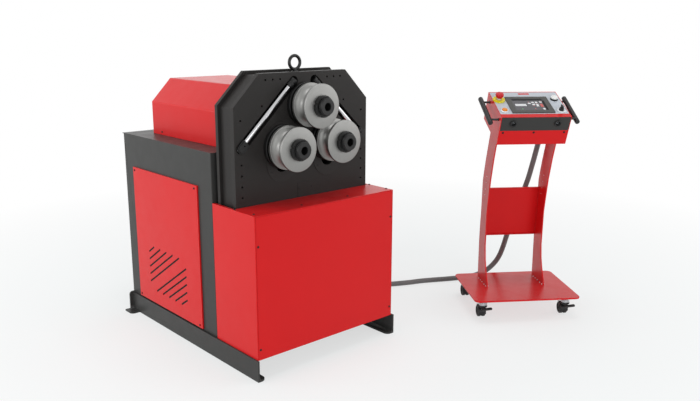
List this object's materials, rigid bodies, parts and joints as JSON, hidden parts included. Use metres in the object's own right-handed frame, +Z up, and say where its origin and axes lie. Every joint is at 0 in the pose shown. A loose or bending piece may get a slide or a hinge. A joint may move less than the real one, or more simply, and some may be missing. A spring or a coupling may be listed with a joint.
{
  "type": "ring roller",
  "caption": "Floor-standing hydraulic three-roll ring roller: plate head with grooved bending rollers, sheet cabinet on rails, and a castored control console on a conduit.",
  "frame": {"origin": "on the floor, under the middle of the box round the machine and its console, measured without the conduit and its glands", "axes": "+X to the right as the operator faces the rollers, towards the console; +Y to the back of the machine, along the roller shafts; +Z up"},
  "size_m": [1.9144, 1.6476, 1.332],
  "materials": {
    "red_paint": "satin powder coat",
    "grey_paint": "fine textured powder coat",
    "dark_paint": "satin enamel",
    "roller_steel": "turned",
    "chromed_rod": "polished",
    "black_steel": "blackened",
    "fascia": "satin",
    "strip_plastic": "fine texture",
    "screen_plastic": "gloss",
    "black_plastic": "moulded",
    "red_plastic": "gloss",
    "orange_plastic": "gloss",
    "white_plastic": "gloss",
    "conduit_plastic": "smooth extruded"
  },
  "bodies": {
    "root": {"base_frame": "grey_paint", "head_front_plate": "dark_paint", "head_rear_frame": "dark_paint", "lifting_eye": "black_steel", "front_guard": "red_paint", "front_panel": "red_paint", "cabinet_shell": "grey_paint", "side_panel_left": "red_paint", "side_panel_right": "red_paint", "top_cover": "red_paint", "upper_drive_motor": "black_steel", "left_cylinder_barrel": "dark_paint", "right_cylinder_barrel": "dark_paint", "guide_rod_left": "chromed_rod", "guide_rod_right": "chromed_rod", "hydraulic_power_unit": "grey_paint", "console_base": "red_paint", "console_upright_left": "red_paint", "console_upright_right": "red_paint", "console_cross_panel": "red_paint", "console_box": "red_paint", "console_top_plate": "fascia", "console_socket_panel": "strip_plastic", "touch_screen": "screen_plastic", "handle_left": "black_plastic", "handle_right": "black_plastic", "conduit": "conduit_plastic", "conduit_gland_machine": "black_plastic", "conduit_gland_console": "black_plastic"},
    "upper_spindle": {"upper_shaft": "black_steel", "upper_roller": "roller_steel", "upper_lock_nut": "black_steel"},
    "left_slide": {"lower_left_carriage": "roller_steel", "left_cylinder_rod": "chromed_rod", "lower_left_drive_motor": "black_steel"},
    "left_spindle": {"lower_left_shaft": "black_steel", "lower_left_roller": "roller_steel", "lower_left_lock_nut": "black_steel"},
    "right_slide": {"lower_right_carriage": "roller_steel", "right_cylinder_rod": "chromed_rod", "lower_right_drive_motor": "black_steel"},
    "right_spindle": {"lower_right_shaft": "black_steel", "lower_right_roller": "roller_steel", "lower_right_lock_nut": "black_steel"},
    "left_guide": {"guide_block_left": "black_steel"},
    "right_guide": {"guide_block_right": "black_steel"},
    "stop_button": {"e_stop_cap": "red_plastic"},
    "reset_key": {"reset_button": "orange_plastic"},
    "start_key": {"start_button": "white_plastic"},
    "selector": {"selector_knob": "black_plastic"},
    "caster_front_left": {"caster_fork_front_left": "black_plastic"},
    "wheel_front_left": {"caster_wheel_front_left": "black_plastic"},
    "brake_left": {"caster_brake_left": "black_plastic"},
    "caster_front_right": {"caster_fork_front_right": "black_plastic"},
    "wheel_front_right": {"caster_wheel_front_right": "black_plastic"},
    "brake_right": {"caster_brake_right": "black_plastic"},
    "caster_rear_left": {"caster_fork_rear_left": "black_plastic"},
    "wheel_rear_left": {"caster_wheel_rear_left": "black_plastic"},
    "caster_rear_right": {"caster_fork_rear_right": "black_plastic"},
    "wheel_rear_right": {"caster_wheel_rear_right": "black_plastic"}
  },
  "joints": [
    {"name": "upper_roller_spin", "type": "hinge", "parent": "root", "child": "upper_spindle", "pos_m": [-0.51321, -0.22975, 1.12], "axis": [0, 1, 0], "continuous": true},
    {"name": "left_roller_lift", "type": "slide", "parent": "root", "child": "left_slide", "axis": [0, 0, 1], "range_m": [-0.074, 0.027]},
    {"name": "right_roller_lift", "type": "slide", "parent": "root", "child": "right_slide", "axis": [0, 0, 1], "range_m": [-0.083, 0.018]},
    {"name": "left_roller_spin", "type": "hinge", "parent": "left_slide", "child": "left_spindle", "pos_m": [-0.64021, -0.22975, 0.9475], "axis": [0, 1, 0], "continuous": true},
    {"name": "right_roller_spin", "type": "hinge", "parent": "right_slide", "child": "right_spindle", "pos_m": [-0.38621, -0.22975, 0.957], "axis": [0, 1, 0], "continuous": true},
    {"name": "left_guide_slide", "type": "slide", "parent": "root", "child": "left_guide", "axis": [0.7252, 0, 0.6885], "range_m": [0, 0.28]},
    {"name": "right_guide_slide", "type": "slide", "parent": "root", "child": "right_guide", "axis": [-0.7252, 0, 0.6885], "range_m": [0, 0.28]},
    {"name": "e_stop_press", "type": "slide", "parent": "root", "child": "stop_button", "axis": [0.2287, 0.3211, -0.919], "range_m": [0, 0.006], "stiffness_N_per_m": 1500, "springref_m": -0.002},
    {"name": "reset_press", "type": "slide", "parent": "root", "child": "reset_key", "axis": [0.2287, 0.3211, -0.919], "range_m": [0, 0.003], "stiffness_N_per_m": 800, "springref_m": -0.001},
    {"name": "start_press", "type": "slide", "parent": "root", "child": "start_key", "axis": [0.2287, 0.3211, -0.919], "range_m": [0, 0.003], "stiffness_N_per_m": 800, "springref_m": -0.001},
    {"name": "selector_turn", "type": "hinge", "parent": "root", "child": "selector", "pos_m": [0.66389, -0.67987, 1.05231], "axis": [-0.2287, -0.3211, 0.919], "range_deg": [-45, 45]},
    {"name": "front_left_caster_swivel", "type": "hinge", "parent": "root", "child": "caster_front_left", "pos_m": [0.3534, -0.4987, 0.09], "axis": [0, 0, 1], "continuous": true},
    {"name": "front_left_wheel_spin", "type": "hinge", "parent": "caster_front_left", "child": "wheel_front_left", "pos_m": [0.374, -0.46979, 0.03], "axis": [0.8145, -0.5801, 0], "continuous": true},
    {"name": "left_brake_rock", "type": "hinge", "parent": "caster_front_left", "child": "brake_left", "pos_m": [0.33948, -0.51825, 0.064], "axis": [0.8145, -0.5801, 0], "range_deg": [0, 12]},
    {"name": "front_right_caster_swivel", "type": "hinge", "parent": "root", "child": "caster_front_right", "pos_m": [0.70691, -0.75047, 0.09], "axis": [0, 0, 1], "continuous": true},
    {"name": "front_right_wheel_spin", "type": "hinge", "parent": "caster_front_right", "child": "wheel_front_right", "pos_m": [0.72751, -0.72155, 0.03], "axis": [0.8145, -0.5801, 0], "continuous": true},
    {"name": "right_brake_rock", "type": "hinge", "parent": "caster_front_right", "child": "brake_right", "pos_m": [0.69299, -0.77002, 0.064], "axis": [0.8145, -0.5801, 0], "range_deg": [0, 12]},
    {"name": "rear_left_caster_swivel", "type": "hinge", "parent": "root", "child": "caster_rear_left", "pos_m": [0.53208, -0.24782, 0.09], "axis": [0, 0, 1], "continuous": true},
    {"name": "rear_left_wheel_spin", "type": "hinge", "parent": "caster_rear_left", "child": "wheel_rear_left", "pos_m": [0.55267, -0.21891, 0.03], "axis": [0.8145, -0.5801, 0], "continuous": true},
    {"name": "rear_right_caster_swivel", "type": "hinge", "parent": "root", "child": "caster_rear_right", "pos_m": [0.88559, -0.49959, 0.09], "axis": [0, 0, 1], "continuous": true},
    {"name": "rear_right_wheel_spin", "type": "hinge", "parent": "caster_rear_right", "child": "wheel_rear_right", "pos_m": [0.90618, -0.47068, 0.03], "axis": [0.8145, -0.5801, 0], "continuous": true}
  ],
  "couplings": [
    {"joint": "left_roller_spin", "follows": "upper_roller_spin", "ratio": -1},
    {"joint": "right_roller_spin", "follows": "upper_roller_spin", "ratio": -1}
  ]
}
